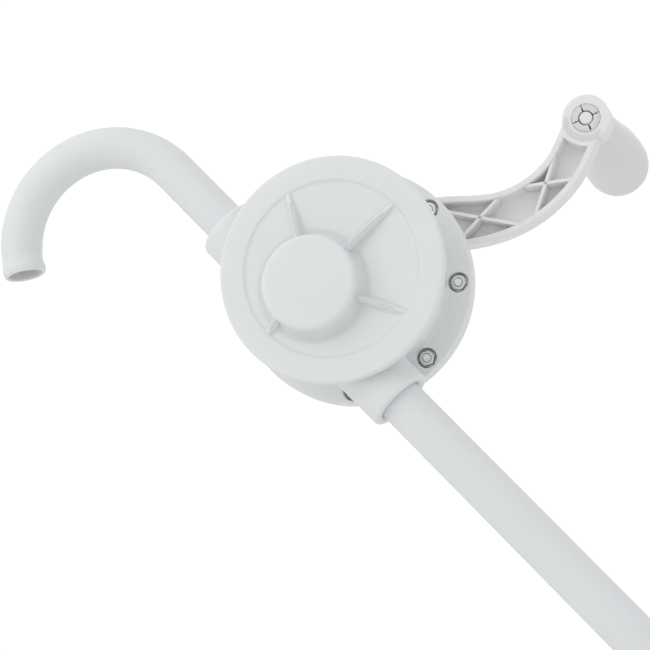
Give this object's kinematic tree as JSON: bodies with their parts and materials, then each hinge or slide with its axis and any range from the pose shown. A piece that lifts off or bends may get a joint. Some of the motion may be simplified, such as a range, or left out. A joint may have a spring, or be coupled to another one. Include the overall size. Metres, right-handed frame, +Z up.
{
  "type": "drum barrel pump",
  "caption": "Hand-cranked rotary vane pump for drums in white plastic, with a curved swivel spout, long suction tube and threaded bung adapter.",
  "frame": {"origin": "on the suction tube's axis, in the plane of the bung's rim where the adapter's gasket seats", "axes": "+Z up along the suction tube, +X towards the crank pin at rest, -Y the front with the bearing boss, +Y the crank side"},
  "size_m": [0.4098, 0.2971, 1.3431],
  "materials": {
    "body_plastic": "moulded polypropylene, fine satin",
    "tube_plastic": "extruded polypropylene, satin",
    "trim_plastic": "moulded polypropylene, satin",
    "grip_plastic": "polypropylene, slightly translucent and warmer",
    "rotor_plastic": "machined polypropylene",
    "vane_plastic": "white polyethylene",
    "bush_plastic": "low-friction white plastic",
    "screw_plastic": "moulded polypropylene",
    "gasket_rubber": "matt black elastomer",
    "bolt_steel": "stainless steel",
    "spring_steel": "stainless spring wire"
  },
  "bodies": {
    "bung": {"bung_adapter": "trim_plastic", "bung_gasket": "gasket_rubber"},
    "clamp_screw": {"thumb_screw": "screw_plastic"},
    "pump": {"pump_body": "body_plastic", "cover_plate": "body_plastic", "cover_gasket": "gasket_rubber", "cover_bolts": "bolt_steel", "cover_nuts": "bolt_steel", "cover_washers": "bolt_steel", "front_bush": "bush_plastic", "rear_bush": "bush_plastic", "shaft_seal": "gasket_rubber", "gland_nut": "trim_plastic", "suction_tube_upper": "tube_plastic", "suction_tube_middle": "tube_plastic", "suction_tube_lower": "tube_plastic", "tube_coupling_upper": "trim_plastic", "tube_coupling_lower": "trim_plastic", "foot_strainer": "trim_plastic", "spout_oring": "gasket_rubber", "suction_oring": "gasket_rubber"},
    "spout_pipe": {"spout": "tube_plastic"},
    "crank": {"rotor": "rotor_plastic", "crank_arm": "trim_plastic", "crank_washer": "bolt_steel", "crank_screw": "bolt_steel", "vane_springs_upper": "spring_steel", "vane_springs_lower": "spring_steel"},
    "vane_top": {"vane_upper": "vane_plastic"},
    "vane_bottom": {"vane_lower": "vane_plastic"},
    "grip": {"handle_knob": "grip_plastic", "knob_pin": "trim_plastic"}
  },
  "joints": [
    {"name": "pump_height", "type": "slide", "parent": "bung", "child": "pump", "axis": [0, 0, 1], "range_m": [-0.18, 0.03]},
    {"name": "thumb_screw_turn", "type": "hinge", "parent": "bung", "child": "clamp_screw", "pos_m": [0, -0.03, 0.028], "axis": [0, -1, 0], "range_deg": [0, 270]},
    {"name": "spout_swivel", "type": "hinge", "parent": "pump", "child": "spout_pipe", "pos_m": [0, 0, 0.46], "axis": [0, 0, 1], "range_deg": [0, 180]},
    {"name": "crank_spin", "type": "hinge", "parent": "pump", "child": "crank", "pos_m": [0.01555, 0, 0.385], "axis": [0, 1, 0], "continuous": true},
    {"name": "vane_upper_slide", "type": "slide", "parent": "crank", "child": "vane_top", "axis": [0, 0, 1], "range_m": [0, 0.0145], "deforming": ["vane_springs_upper"]},
    {"name": "vane_lower_slide", "type": "slide", "parent": "crank", "child": "vane_bottom", "axis": [0, 0, -1], "range_m": [0, 0.0145], "deforming": ["vane_springs_lower"]},
    {"name": "grip_spin", "type": "hinge", "parent": "crank", "child": "grip", "pos_m": [0.2379, 0.09, 0.3611], "axis": [0, 1, 0], "continuous": true}
  ]
}
